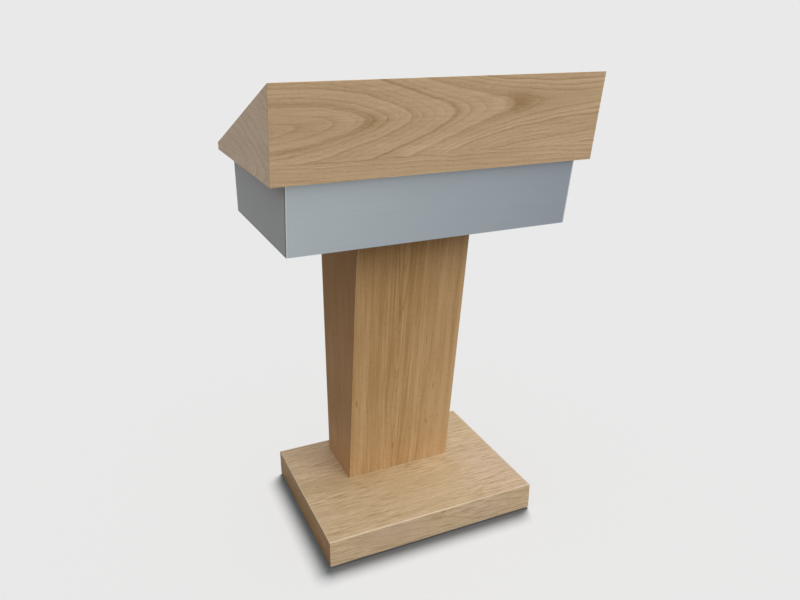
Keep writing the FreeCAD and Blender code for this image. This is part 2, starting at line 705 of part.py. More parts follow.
def build_head(screw_places):
    """Mitred front and sides cut to the slope, with a floor board and a strip over the rear edges."""
    half = "places.head_half"
    inner = "places.head_inner"
    bottom = "places.box_top"
    floor_top = "places.floor_top"
    rear = "(places.head_rear - sizes.lipping_width)"
    uncut_top = f"(places.head_top + {FAR_PAST})"
    before = f"(-sizes.head_depth / 2 - {FAR_PAST})"
    beyond = f"(places.head_rear + {FAR_PAST})"
    above_slope = [
        (before, f"places.head_top + {FAR_PAST} * places.fall"),
        (beyond, f"places.head_rear_top - {FAR_PAST} * places.fall"),
        (beyond, f"places.head_top + 2 * {FAR_PAST}"),
        (before, f"places.head_top + 2 * {FAR_PAST}"),
    ]

    front = mitred_front("head_front_panel", HEAD_FRONT, half, uncut_top)
    cut_through(front, new_sketch(front, "YZ_Plane"), [above_slope])
    edge_z = number("places.head_top")
    break_edges(front, lambda point: abs(point.z - edge_z) < NEAR)

    foot_z = number(bottom)
    for name, side in (("head_left_panel", "-1"), ("head_right_panel", "1")):
        panel = mitred_side(name, side, HEAD_FRONT, half, inner, uncut_top, rear)
        cut_through(panel, new_sketch(panel, "YZ_Plane"), [above_slope])
        cut_through(panel, new_sketch(panel, "XZ_Plane"), [rebate(side, inner, bottom, floor_top)])
        outer_x = number(f"{side} * {half}")
        break_edges(panel, lambda point: abs(point.x - outer_x) < NEAR and point.z > foot_z + NEAR)

    floor_half = f"({inner} + sizes.housing_depth)"
    nose = "(places.head_rear - sizes.nose_thickness / places.fall)"
    floor = board("head_floor_board", f"-{floor_half}", f"2 * {floor_half}", [
        (behind(HEAD_FRONT, bottom, THICKNESS), bottom),
        (nose, bottom),
        (nose, f"{bottom} + sizes.nose_thickness"),
        (f"places.head_rear - {THICKNESS} / places.fall", floor_top),
        (behind(HEAD_FRONT, floor_top, THICKNESS), floor_top),
    ])
    drill(floor, bottom, screw_places, SCREW_HOLE, f"sizes.screw_length - {BATTEN} + sizes.tip_room", True)

    lipping = board("head_rear_lipping", f"-{half}", f"2 * {half}", [
        (rear, bottom),
        ("places.head_rear", bottom),
        ("places.head_rear", "places.head_rear_top"),
        (rear, "places.head_rear_top + sizes.lipping_width * places.fall"),
    ])
    rear_y = number("places.head_rear")
    break_edges(lipping, lambda point: abs(point.y - rear_y) < NEAR)


def lay_on_slope(body):
    """Turn a body that was drawn flat onto the slope, about the rear lower edge of the head."""
    body.Placement = Placement(Vector(0, 0, 0), Rotation(Vector(1, 0, 0), 1))
    bind_place(body, "0", "places.head_rear", "places.box_top")
    body.setExpression("Placement.Rotation.Angle", "-sizes.reading_slope")


def slope_front_at(height):
    """Expression along the flat slope for the inner face of the head's front, at a height off the slope."""
    level = f"places.head_rear - places.head_front - {THICKNESS} * places.lean_run"
    rise = f"({height}) * (places.slope_sin + places.lean * places.slope_cos)"
    return f"(-({level} + {rise}) / (places.slope_cos - places.lean * places.slope_sin))"


def slope_rear_at(height):
    """Expression along the flat slope for the inner face of the rear lipping, at a height off the slope."""
    return f"(-sizes.lipping_width / places.slope_cos - ({height}) * places.fall)"


def build_reading_board():
    """Reading board with the paper stop in a groove, on two battens; all drawn flat on the slope."""
    inner = "places.head_inner"
    reading = board("reading_board", f"-{inner}", f"2 * {inner}", [
        (slope_rear_at("0"), "0"),
        (slope_rear_at(THICKNESS), THICKNESS),
        (slope_front_at(THICKNESS), THICKNESS),
        (slope_front_at("0"), "0"),
    ])
    stop_rear = f"({slope_rear_at(THICKNESS)} - sizes.stop_margin)"
    stop_front = f"({stop_rear} - sizes.stop_thickness)"
    groove_rear = f"{stop_rear} + sizes.stop_clearance / 2"
    groove_front = f"{stop_front} - sizes.stop_clearance / 2"
    seat = f"({THICKNESS} - sizes.stop_seat)"
    above = f"{THICKNESS} + {PAST}"
    groove = [(groove_front, seat), (groove_rear, seat), (groove_rear, above), (groove_front, above)]
    cut_through(reading, new_sketch(reading, "YZ_Plane"), [groove])
    lay_on_slope(reading)

    half = f"({inner} - sizes.stop_clearance)"
    top = f"{THICKNESS} + sizes.stop_height"
    stop = board("paper_stop", f"-{half}", f"2 * {half}", [
        (stop_front, seat),
        (stop_rear, seat),
        (stop_rear, top),
        (stop_front, top),
    ])
    strip = stop.Tip
    upper_edges = []
    for count, edge in enumerate(strip.Shape.Edges, start=1):
        if edge.BoundBox.ZMin > number(top) - NEAR and edge.Length > number(half):
            upper_edges.append(f"Edge{count}")
    rounding = stop.newObject("PartDesign::Fillet", "rounding")
    rounding.Base = (strip, upper_edges)
    rounding.setExpression("Radius", "sizes.stop_rounding")
    lay_on_slope(stop)

    start = f"({slope_front_at('-' + BATTEN)} + sizes.batten_end_gap)"
    end = f"(-({THICKNESS} + {BATTEN} * places.slope_cos) / places.slope_sin - sizes.batten_end_gap)"
    corners = [(start, f"-{BATTEN}"), (end, f"-{BATTEN}"), (end, "0"), (start, "0")]
    for side, x_start in (("left", f"-{inner}"), ("right", f"{inner} - {BATTEN}")):
        lay_on_slope(board(f"reading_batten_{side}", x_start, BATTEN, corners))


def write_pieces():
    """Check every object and write each piece to its own file."""
    doc.recompute()
    for item in doc.Objects:
        if "Invalid" in item.State or "Error" in item.State:
            raise RuntimeError(f"{item.Name} did not build: {item.State}")
        base = getattr(item, "BaseFeature", None)
        if base is not None and abs(item.Shape.Volume - base.Shape.Volume) < 0.1:
            raise RuntimeError(f"{item.Name} changes nothing")
    os.makedirs("parts", exist_ok=True)
    for body in doc.findObjects("PartDesign::Body"):
        if body.Shape.isNull() or not body.Shape.isValid():
            raise RuntimeError(f"{body.Label} has no sound shape")
        body.Shape.exportStep(f"parts/{body.Label}.step")


build_base()
build_column()
build_coach_screws()
build_box_bolts()
build_head(build_box())
build_reading_board()
write_pieces()
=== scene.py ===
import logging
import math
from dataclasses import dataclass, replace
from enum import Enum
from typing import Any, Mapping, Optional, Sequence, Union

import bmesh
import bpy
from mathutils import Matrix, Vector


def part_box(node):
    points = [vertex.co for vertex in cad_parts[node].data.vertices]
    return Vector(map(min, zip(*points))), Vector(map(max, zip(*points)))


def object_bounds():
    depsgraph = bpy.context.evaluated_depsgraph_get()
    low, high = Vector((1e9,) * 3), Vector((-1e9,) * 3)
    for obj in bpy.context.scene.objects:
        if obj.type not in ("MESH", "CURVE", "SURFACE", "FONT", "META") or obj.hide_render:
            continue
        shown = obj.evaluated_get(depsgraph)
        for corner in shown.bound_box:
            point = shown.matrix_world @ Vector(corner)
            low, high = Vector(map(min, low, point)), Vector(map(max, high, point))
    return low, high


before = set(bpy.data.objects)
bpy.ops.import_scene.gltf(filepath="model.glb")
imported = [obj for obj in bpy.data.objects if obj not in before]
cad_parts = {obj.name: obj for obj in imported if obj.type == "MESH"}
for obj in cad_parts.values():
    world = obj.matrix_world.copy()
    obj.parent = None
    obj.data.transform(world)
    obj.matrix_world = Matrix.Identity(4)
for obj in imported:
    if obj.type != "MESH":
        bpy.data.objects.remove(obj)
CAD_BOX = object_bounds()

LOG = logging.getLogger("lectern")
MM = 0.001

Triple = tuple[float, float, float]
Colour = tuple[float, float, float, float]
Operand = Union["Scalar", int, float]
Stops = Sequence[tuple[float, float]]
Socket = bpy.types.NodeSocket
Pieces = Sequence[bpy.types.Object]

# Angles of the joinery, as in the construction
FRONT_LEAN = math.radians(8.0)
READING_SLOPE = math.radians(19.0)

# Directions as the audience sees them
RIGHT = (1.0, 0.0, 0.0)
LEFT = (-1.0, 0.0, 0.0)
FORWARD = (0.0, -1.0, 0.0)
BACK = (0.0, 1.0, 0.0)
UP = (0.0, 0.0, 1.0)
DOWN = (0.0, 0.0, -1.0)
DOWN_FRONT = (0.0, math.sin(FRONT_LEAN), -math.cos(FRONT_LEAN))
UP_SLOPE = (0.0, -math.cos(READING_SLOPE), math.sin(READING_SLOPE))
ORIGIN = (0.0, 0.0, 0.0)
AXES = (RIGHT, BACK, UP)


def paint(red: int, green: int, blue: int) -> Colour:
    """Linear colour from display values of 0 to 255.

    Args:
        red: Display red.
        green: Display green.
        blue: Display blue.

    Returns:
        Linear red, green and blue, with full alpha.
    """
    linear = []
    for level in (red, green, blue):
        share = level / 255
        linear.append(share / 12.92 if share <= 0.04045 else ((share + 0.055) / 1.055) ** 2.4)
    return (linear[0], linear[1], linear[2], 1.0)


class Scalar:
    """A socket that holds one value; arithmetic on it adds Math nodes."""

    def __init__(self, graph: "Graph", socket: Socket) -> None:
        """Keep the socket and the graph that it belongs to."""
        self.graph = graph
        self.socket = socket

    def __add__(self, other: Operand) -> "Scalar":
        """Sum."""
        return self.graph.maths("ADD", self, other)

    def __radd__(self, other: Operand) -> "Scalar":
        """Sum, from the right."""
        return self.graph.maths("ADD", other, self)

    def __sub__(self, other: Operand) -> "Scalar":
        """Difference."""
        return self.graph.maths("SUBTRACT", self, other)

    def __rsub__(self, other: Operand) -> "Scalar":
        """Difference, from the right."""
        return self.graph.maths("SUBTRACT", other, self)

    def __mul__(self, other: Operand) -> "Scalar":
        """Product."""
        return self.graph.maths("MULTIPLY", self, other)

    def __rmul__(self, other: Operand) -> "Scalar":
        """Product, from the right."""
        return self.graph.maths("MULTIPLY", other, self)

    def __truediv__(self, other: Operand) -> "Scalar":
        """Quotient."""
        return self.graph.maths("DIVIDE", self, other)

    def __rtruediv__(self, other: Operand) -> "Scalar":
        """Quotient, from the right."""
        return self.graph.maths("DIVIDE", other, self)

    def __gt__(self, other: Operand) -> "Scalar":
        """One where this is greater, zero elsewhere."""
        return self.graph.maths("GREATER_THAN", self, other)

    def root(self) -> "Scalar":
        """Square root."""
        return self.graph.maths("SQRT", self)

    def exponential(self) -> "Scalar":
        """The number e to this power."""
        return self.graph.maths("EXPONENT", self)

    def fraction(self) -> "Scalar":
        """What is left above the whole number."""
        return self.graph.maths("FRACT", self)

    def whole(self) -> "Scalar":
        """The whole number below."""
        return self.graph.maths("FLOOR", self)

    def between(self, low: float, high: float) -> "Scalar":
        """Smooth rise from 0 at a low value to 1 at a high one.

        Args:
            low: Where the rise starts.
            high: Where it ends; below low, the value falls instead.

        Returns:
            A value from 0 to 1.
        """
        rise = self.graph.node(
            "ShaderNodeMapRange",
            {"interpolation_type": "SMOOTHSTEP"},
            {"Value": self, "From Min": low, "From Max": high},
        )
        return Scalar(self.graph, rise.outputs["Result"])


class Graph:
    """The nodes of one material or world, with short ways to add and join them."""

    def __init__(self, tree: bpy.types.NodeTree) -> None:
        """Start with an empty tree."""
        self.tree = tree
        tree.nodes.clear()

    def node(
        self,
        kind: str,
        settings: Optional[Mapping[str, Any]] = None,
        sockets: Optional[Mapping[Union[str, int], Any]] = None,
    ) -> bpy.types.Node:
        """Add any node.

        Args:
            kind: The node's type.
            settings: Its own settings, set first; "stops" are a ramp's places and levels.
            sockets: Values or links of its inputs, by name or number.

        Returns:
            The new node.
        """
        made = self.tree.nodes.new(kind)
        for name, value in (settings or {}).items():
            if name == "stops":
                self._set_stops(made.color_ramp, value)
            else:
                setattr(made, name, value)
        for key, value in (sockets or {}).items():
            if isinstance(value, Scalar):
                value = value.socket
            if isinstance(value, Socket):
                self.tree.links.new(value, made.inputs[key])
            else:
                made.inputs[key].default_value = value
        return made

    @staticmethod
    def _set_stops(ramp: bpy.types.ColorRamp, stops: Stops) -> None:
        """Give a ramp its grey stops.

        Args:
            ramp: The ramp, with its two first stops.
            stops: Place and level of each stop, in rising order.
        """
        while len(ramp.elements) < len(stops):
            ramp.elements.new(1.0)
        for element, (place, level) in zip(ramp.elements, stops):
            element.position = place
            element.color = (level, level, level, 1.0)

    def maths(self, operation: str, first: Operand, second: Operand = 0.0) -> Scalar:
        """One Math node.

        Args:
            operation: The node's operation.
            first: First value.
            second: Second value, where the operation takes two.

        Returns:
            The result.
        """
        made = self.node("ShaderNodeMath", {"operation": operation}, {0: first, 1: second})
        return Scalar(self, made.outputs[0])

    def place(self) -> Socket:
        """The point on the surface, in metres, in the frame that the parts share."""
        return self.node("ShaderNodeTexCoord").outputs["Object"]

    def dot(self, vector: Socket, direction: Triple) -> Scalar:
        """Length of a vector along a fixed direction."""
        made = self.node("ShaderNodeVectorMath", {"operation": "DOT_PRODUCT"}, {0: vector, 1: direction})
        return Scalar(self, made.outputs["Value"])

    def noise(
        self, x: Operand, y: Operand, z: Operand, detail: float = 2.0, rough: float = 0.5,
    ) -> Scalar:
        """Soft noise about 0.5, one step per unit of its coordinates.

        Args:
            x: First coordinate.
            y: Second coordinate.
            z: Third coordinate, which may be a fixed seed.
            detail: Octaves of finer noise.
            rough: Strength of the finer octaves.

        Returns:
            The noise, from 0 to 1.
        """
        joined = self.node("ShaderNodeCombineXYZ", None, {0: x, 1: y, 2: z})
        made = self.node(
            "ShaderNodeTexNoise",
            {"noise_dimensions": "3D"},
            {"Vector": joined.outputs[0], "Scale": 1.0, "Detail": detail, "Roughness": rough},
        )
        return Scalar(self, made.outputs["Fac"])

    def speckle(self, steps: Triple, detail: float = 2.0, rough: float = 0.5) -> Scalar:
        """Soft noise through the whole piece, with its steps per metre to the right, back and up."""
        x, y, z = (self.dot(self.place(), axis) * step for axis, step in zip(AXES, steps))
        return self.noise(x, y, z, detail, rough)

    def chance(self, value: Operand) -> Scalar:
        """A random level from 0 to 1 that is fixed for each value."""
        made = self.node("ShaderNodeTexWhiteNoise", {"noise_dimensions": "1D"}, {"W": value})
        return Scalar(self, made.outputs["Value"])

    def ramp(self, value: Scalar, stops: Stops) -> Scalar:
        """A value passed through grey stops."""
        made = self.node("ShaderNodeValToRGB", {"stops": stops}, {"Fac": value})
        return Scalar(self, made.outputs["Color"])

    def mix(self, factor: Operand, first: Any, second: Any, blend: str = "MIX") -> Socket:
        """Mix two colours.

        Args:
            factor: Share of the second colour.
            first: First colour or its socket.
            second: Second colour or its socket.
            blend: How they are blended.

        Returns:
            The colour's socket.
        """
        made = self.node(
            "ShaderNodeMix",
            {"data_type": "RGBA", "blend_type": blend, "clamp_factor": True},
            {0: factor, 6: first, 7: second},
        )
        return made.outputs[2]

    def bump(self, height: Scalar, depth: float, strength: float = 1.0) -> Socket:
        """Surface normals of a relief.

        Args:
            height: The relief, where 1 is as high as the depth.
            depth: Real height of the relief in metres.
            strength: Share of the relief that shows.

        Returns:
            The normal's socket.
        """
        sockets = {"Strength": strength, "Distance": depth, "Height": height}
        return self.node("ShaderNodeBump", None, sockets).outputs["Normal"]

    def surface(self, sockets: Mapping[str, Any]) -> None:
        """Finish a material with one Principled shader."""
        shader = self.node("ShaderNodeBsdfPrincipled", None, sockets)
        self.node("ShaderNodeOutputMaterial", None, {"Surface": shader.outputs[0]})


@dataclass(frozen=True)
class Spot:
    """Any point of a face, as nodes: metres along the grain, across it and into the board."""

    graph: Graph
    along: Scalar
    across: Scalar
    depth: Scalar

    def shifted(self, by: Scalar) -> "Spot":
        """The point moved across the grain."""
        return replace(self, across=self.across + by)


@dataclass(frozen=True)
class Grain:
    """Soft noise drawn out along the grain: steps per metre, octaves and their roughness, and size."""

    along: float
    across: float
    detail: float = 2.0
    rough: float = 0.5
    size: float = 1.0

    def on(self, spot: Spot, third: Operand) -> Scalar:
        """Noise from 0 to 1 on a face; its third coordinate may be a fixed seed."""
        along, across = spot.along * self.along, spot.across * self.across
        return spot.graph.noise(along, across, third, self.detail, self.rough)

    def sway(self, spot: Spot, third: Operand, times: float = 1.0) -> Scalar:
        """The noise about 0 in its own size, or a number of times that."""
        return (self.on(spot, third) - 0.5) * (self.size * times)


# How the rings of oak bend, and what lies between and over them
RING_BEND = Grain(4.0, 12.0, size=2.0)
RING_RIPPLE = Grain(19.0, 55.0)
FIBRE = Grain(7.0, 300.0, 3.0, 0.6, size=0.8)
HAIR = Grain(30.0, 1500.0, 1.0, size=0.25)
PORE = Grain(75.0, 1900.0, 1.0, 0.4)
RAY_FLECK = Grain(130.0, 520.0, 1.0)
CLOUD = Grain(4.0, 16.0, size=0.6)
STREAK = Grain(0.9, 55.0, 4.0, 0.7, size=3.0)
STREAK_BEND = Grain(2.5, 7.0, 1.0, size=16.0 * MM)
DASH = Grain(17.0, 225.0, 3.0, 0.6)
DASH_BEND = Grain(14.0, 26.0, 1.0, size=8.0 * MM)
DASH_CROWD = Grain(7.0, 16.0, 1.0)
MARK_EDGE = Grain(40.0, 160.0, size=0.8)

# Softwood and silver sheet
PINE_BEND = Grain(6.0, 30.0, size=4.0 * MM)
PINE_FIBRE = Grain(12.0, 1100.0, 2.0, 0.6)
BRUSHING = Grain(9.0, 2400.0, 2.0, 0.7, size=0.3)
SHEET_STREAK = Grain(2.5, 330.0, 2.0, 0.6, size=0.25)
SHEET_CLOUD = Grain(5.0, 9.0, 1.0, size=0.2)


class Cut(Enum):
    """How a leaf of veneer was sliced from the log."""

    CROWN = "arched rings along the middle"
    RIFT = "straight rings side by side"


@dataclass(frozen=True)
class Face:
    """Where a board's show face lies: a corner, and the directions along and across the grain."""

    corner: Triple
    along: Triple
    across: Triple

    def spot(self, graph: Graph) -> Spot:
        """Any point of the face.

        Args:
            graph: The material's nodes.

        Returns:
            The point, measured from the corner.
        """
        point, corner = graph.place(), Vector(self.corner)
        inward = Vector(self.along).cross(self.across)
        axes = (Vector(self.along), Vector(self.across), inward)
        return Spot(graph, *(graph.dot(point, tuple(axis)) - corner.dot(axis) for axis in axes))


@dataclass(frozen=True)
class Leaf:
    """One leaf of veneer: how its growth rings run, in metres.

    The rings lie about a spine, which drifts across the grain on its way along. A crown's arches step
    through some rings over a spread about one place. Slow bends wander and quick ones ripple.
    """

    cut: Cut = Cut.RIFT
    spine: float = -0.10
    drift: float = 0.0
    spacing: float = 0.010
    heart: float = 0.025
    arches: float = 0.0
    arch_place: float = 0.3
    arch_spread: float = 0.1
    wander: float = 0.010
    ripple: float = 0.006

    def rings(self, spot: Spot, seed: float) -> Scalar:
        """Growth rings counted from the heart, as they cross the face.

        Args:
            spot: Any point of the face.
            seed: Makes this leaf differ from others.

        Returns:
            The ring count, with its fraction.
        """
        slow = RING_BEND.sway(spot, seed, self.wander)
        quick = RING_RIPPLE.sway(spot, seed + 3.0, self.ripple)
        bent = spot.across + slow + quick
        away = bent - self.spine - spot.along * self.drift
        count = ((away * away + self.heart * self.heart).root() - self.heart) / self.spacing
        if self.cut is Cut.CROWN:
            fall = ((self.arch_place - spot.along) / self.arch_spread).exponential()
            count = count + self.arches / (1.0 + fall)
        return count


@dataclass(frozen=True)
class Patch:
    """A soft-edged mark on the veneer, also used for painted shade and a painted reflection: its middle
    and its sizes in metres, and its strength.
    """

    along: float
    across: float
    length: float
    width: float
    strength: float

    def mask(self, spot: Spot) -> Scalar:
        """Where the mark shows.

        Args:
            spot: Any point of the face.

        Returns:
            The mark's strength in its middle, falling to 0 at its edge.
        """
        run = (spot.along - self.along) / (self.length / 2)
        rise = (spot.across - self.across) / (self.width / 2)
        ragged = MARK_EDGE.sway(spot, self.along)
        return ((run * run + rise * rise).root() + ragged).between(1.0, 0.1) * self.strength


@dataclass(frozen=True)
class EdgeLine:
    """A narrow line along an edge: what lies beyond a plane, in metres along its normal."""

    normal: Triple
    beyond: float
    colour: Colour
    strength: float

    def lay(self, graph: Graph, colour: Socket) -> Socket:
        """Lay the line over a colour.

        Args:
            graph: The material's nodes.
            colour: The colour without the line.

        Returns:
            The colour with it.
        """
        mask = graph.dot(graph.place(), self.normal) > self.beyond
        return graph.mix(mask * self.strength, colour, self.colour)


@dataclass(frozen=True)
class Finish:
    """What a surface is made of; each kind adds its own nodes."""

    name: str

    def material(self) -> bpy.types.Material:
        """Make the material.

        Returns:
            The finished material.
        """
        made = bpy.data.materials.new(self.name)
        made.use_nodes = True
        self.coat(Graph(made.node_tree))
        return made

    def coat(self, graph: Graph) -> None:
        """Add the nodes to an empty graph."""
        raise NotImplementedError


@dataclass(frozen=True)
class OakTones:
    """The colours of one piece of lacquered oak, from late wood to pores."""

    pale: Colour
    middle: Colour
    dark: Colour
    pore: Colour


def oak_tones(red: int, green: int, blue: int) -> OakTones:
    """Tones of oak about one middle colour.

    Args:
        red: Display red of the middle tone.
        green: Display green.
        blue: Display blue.

    Returns:
        The four tones.
    """
    return OakTones(
        pale=paint(red + 20, green + 21, blue + 24),
        middle=paint(red, green, blue),
        dark=paint(red - 34, green - 37, blue - 41),
        pore=paint(red - 66, green - 70, blue - 66),
    )


ROSE: Colour = (1.0, 0.985, 1.16, 1.0)

# One ring from its early wood to the pale line before the next, where PLAIN is plain wood
PLAIN = 0.3
RING_PROFILE: Stops = (
    (0.0, 0.95), (0.07, 0.85), (0.24, 0.42), (0.5, PLAIN), (0.78, 0.16), (0.93, 0.02), (1.0, 0.95),
)
BROAD_SHARE = 0.55
FINE_SHARE = 0.65
FINE_RINGS = 3.6
WEAKEST = 0.2
RINGS_INTO_BOARD = 120.0
LEAF_STEP = 40.0


@dataclass(frozen=True)
class Oak(Finish):
    """Oak veneer under satin lacquer on one board, with a second leaf beyond a seam where it has one.

    The wood is as dark as start says where the grain starts, and paler by fade for each metre along; on
    the column, start and fade paint the shade under the box. Patches are darker marks, or paler ones
    where their strength is below 0; on the column's sides and the base top, some paint shade, and one
    paints a reflection on the column's foot. Where it is calm, the figure is weaker, and where it is
    rosy, the wood is pinker.
    """

    face: Face
    tones: OakTones
    leaves: tuple[Leaf, ...]
    seam: float = 1.0
    seed: float = 0.0
    contrast: float = 1.0
    streaks: float = 0.2
    dashes: float = 0.0
    # start and fade also paint the shade under the box on the column
    start: float = 0.38
    fade: float = 0.0
    gloss: float = 0.1
    patches: tuple[Patch, ...] = ()
    calm: tuple[Patch, ...] = ()
    rosy: tuple[Patch, ...] = ()
    edges: tuple[EdgeLine, ...] = ()

    def coat(self, graph: Graph) -> None:
        """Colour the veneer by its rings, fibres, pores and marks, and give the lacquer their relief.

        Args:
            graph: The material's empty nodes.
        """
        spot = self.face.spot(graph)
        rings = self._rings(spot)
        broad = self._bands(graph, rings, 1.0, self.seed)
        fine = self._bands(graph, rings, FINE_RINGS, self.seed + 5.0)
        ringed = ((broad - PLAIN) * BROAD_SHARE + (fine - PLAIN) * FINE_SHARE) * self.contrast
        fibre = FIBRE.on(spot, spot.depth * FIBRE.across + self.seed)
        hair = HAIR.on(spot, spot.depth * HAIR.across + self.seed)
        pores = self._pores(spot, broad)

        level = self._figure(spot, ringed) + (fibre - 0.5) * FIBRE.size + (hair - 0.5) * HAIR.size
        level = level + CLOUD.sway(spot, self.seed + 7.0) + self.start - spot.along * self.fade
        for patch in self.patches:
            level = level + patch.mask(spot)
        relief = 0.6 - pores * 0.6 - (broad - PLAIN) * 0.15 + (hair - 0.5) * 0.3
        graph.surface({
            "Base Color": self._colour(spot, level, pores),
            "Roughness": 0.46 + fibre * 0.08 + pores * 0.16,
            "Specular IOR Level": self.gloss,
            "Normal": graph.bump(relief, 0.12 * MM),
        })

    def _rings(self, spot: Spot) -> Scalar:
        """Ring count over both leaves.

        Args:
            spot: Any point of the face.

        Returns:
            The ring count, with its fraction.
        """
        rings = self.leaves[0].rings(spot, self.seed)
        if len(self.leaves) > 1:
            other = self.leaves[1].rings(spot, self.seed + 11.0)
            rings = rings + (other + LEAF_STEP - rings) * (spot.across > self.seam)
        return rings + spot.depth * RINGS_INTO_BOARD

    def _figure(self, spot: Spot, ringed: Scalar) -> Scalar:
        """Rings, streaks and dashes together, weaker where the veneer is calm.

        Args:
            spot: Any point of the face.
            ringed: The rings alone, about 0.

        Returns:
            Level about 0, dark above it and pale below.
        """
        bent = spot.shifted(STREAK_BEND.sway(spot, self.seed + 15.0))
        figure = ringed + STREAK.sway(bent, self.seed + 13.0, self.streaks)
        if self.dashes:
            figure = figure + self._dashes(spot) * self.dashes
        for patch in self.calm:
            figure = figure * (1.0 - patch.mask(spot))
        return figure

    def _dashes(self, spot: Spot) -> Scalar:
        """Short wavy lines where the open pores crowd together.

        Args:
            spot: Any point of the face.

        Returns:
            Level about 0, dark above it and pale below.
        """
        bent = spot.shifted(DASH_BEND.sway(spot, self.seed + 21.0))
        lines = DASH.on(bent, self.seed + 19.0)
        crowd = DASH_CROWD.on(spot, self.seed + 23.0).between(0.30, 0.62)
        return (lines.between(0.42, 0.68) - 0.33) * (0.25 + crowd * 0.75)

    @staticmethod
    def _bands(graph: Graph, rings: Scalar, times: float, seed: float) -> Scalar:
        """Each ring's early wood, dark at its start, with a pale line before the next.

        Args:
            graph: The material's nodes.
            rings: The ring count.
            times: Lines for each counted ring.
            seed: Makes the strengths of the lines differ.

        Returns:
            Level from 0, pale, to 1, dark, about the level of plain wood.
        """
        count = rings * times + seed
        profile = graph.ramp(count.fraction(), RING_PROFILE)
        strength = graph.chance(count.whole() + seed * 1.7)
        return PLAIN + (profile - PLAIN) * (WEAKEST + strength * (1.0 - WEAKEST))

    @staticmethod
    def _pores(spot: Spot, early: Scalar) -> Scalar:
        """One in open pores: short dark lines along the grain, thickest in the early wood."""
        lines = PORE.on(spot, spot.depth * PORE.across)
        return (lines + early * 0.16).between(0.64, 0.74)

    def _colour(self, spot: Spot, level: Scalar, pores: Scalar) -> Socket:
        """Colour of the wood with its rosy places, pores, ray flecks and edges.

        Args:
            spot: Any point of the face.
            level: Darkness of the wood, pale at 0 and dark from 1.
            pores: 1 in a pore and 0 elsewhere.

        Returns:
            The colour's socket.
        """
        graph = spot.graph
        colour = graph.mix((level + 0.05) * 2.0, self.tones.pale, self.tones.middle)
        colour = graph.mix((level - 0.45) * 1.1, colour, self.tones.dark)
        for patch in self.rosy:
            colour = graph.mix(patch.mask(spot), colour, ROSE, "MULTIPLY")
        colour = graph.mix(pores * 0.35, colour, self.tones.pore)
        rays = RAY_FLECK.on(spot, self.seed + 9.0).between(0.68, 0.8)
        colour = graph.mix(rays * 0.16, colour, self.tones.pale)
        for edge in self.edges:
            colour = edge.lay(graph, colour)
        return colour


# Shares of the silver sheet's tint between which its brushing varies
SHEET_DULL = (0.77, 0.785, 0.81, 1.0)
SHEET_BRIGHT = (1.18, 1.19, 1.155, 1.0)


@dataclass(frozen=True)
class Laminate(Finish):
    """Silver sheet with a fine satin brushing, and a painted sheen that dulls it over a length along the
    brushing.
    """

    face: Face
    tint: Colour
    # Painted sheen: how much darker the sheet gets over fade_length
    fade: float = 0.0
    fade_length: float = 1.0
    metallic: float = 0.5
    gloss: float = 0.4
    edges: tuple[EdgeLine, ...] = ()

    def coat(self, graph: Graph) -> None:
        """Brush the sheet.

        Args:
            graph: The material's empty nodes.
        """
        spot = self.face.spot(graph)
        brush = BRUSHING.on(spot, 1.0)
        streak = SHEET_STREAK.on(spot, 4.0)
        level = 0.5 + (brush - 0.5) * BRUSHING.size + (streak - 0.5) * SHEET_STREAK.size
        # The painted sheen fades along the brushing
        level = level + SHEET_CLOUD.sway(spot, 8.0) - spot.along * (self.fade / self.fade_length)
        duller = tuple(part * share for part, share in zip(self.tint, SHEET_DULL))
        brighter = tuple(part * share for part, share in zip(self.tint, SHEET_BRIGHT))
        colour = graph.mix(level, duller, brighter)
        for edge in self.edges:
            colour = edge.lay(graph, colour)
        graph.surface({
            "Base Color": colour,
            "Metallic": self.metallic,
            "Roughness": 0.38 + (streak - 0.5) * 0.12,
            "Specular IOR Level": self.gloss,
            "Normal": graph.bump(brush * 0.7 + streak * 0.3, 0.05 * MM, 0.6),
        })


@dataclass(frozen=True)
class PressedBoard(Finish):
    """Fibreboard: a soft mottle of pressed fibres."""

    light: Colour
    dark: Colour
    roughness: float
    relief: float

    def coat(self, graph: Graph) -> None:
        """Mottle the board.

        Args:
            graph: The material's empty nodes.
        """
        flecks = graph.speckle((900.0, 900.0, 900.0), 3.0, 0.7)
        level = flecks * 0.6 + graph.speckle((40.0, 40.0, 40.0), 3.0) * 0.4
        graph.surface({
            "Base Color": graph.mix(level.between(0.3, 0.7), self.dark, self.light),
            "Roughness": self.roughness + (flecks - 0.5) * 0.15,
            "Normal": graph.bump(flecks, self.relief),
        })


@dataclass(frozen=True)
class Softwood(Finish):
    """Planed, unfinished softwood strips with straight rings."""

    face: Face
    light: Colour
    dark: Colour
    rings_per_metre: float = 260.0
    ring_profile: Stops = ((0.0, 0.0), (0.7, 0.55), (0.92, 1.0), (1.0, 0.0))

    def coat(self, graph: Graph) -> None:
        """Lay rings and fibres.

        Args:
            graph: The material's empty nodes.
        """
        spot = self.face.spot(graph)
        bent = spot.across + PINE_BEND.sway(spot, 2.0)
        rings = graph.ramp((bent * self.rings_per_metre).fraction(), self.ring_profile)
        fibre = PINE_FIBRE.on(spot, 3.0)
        graph.surface({
            "Base Color": graph.mix(rings * 0.55 + fibre * 0.4, self.light, self.dark),
            "Roughness": 0.55 + fibre * 0.15,
            "Normal": graph.bump(fibre * 0.7 - rings * 0.3, 0.1 * MM),
        })


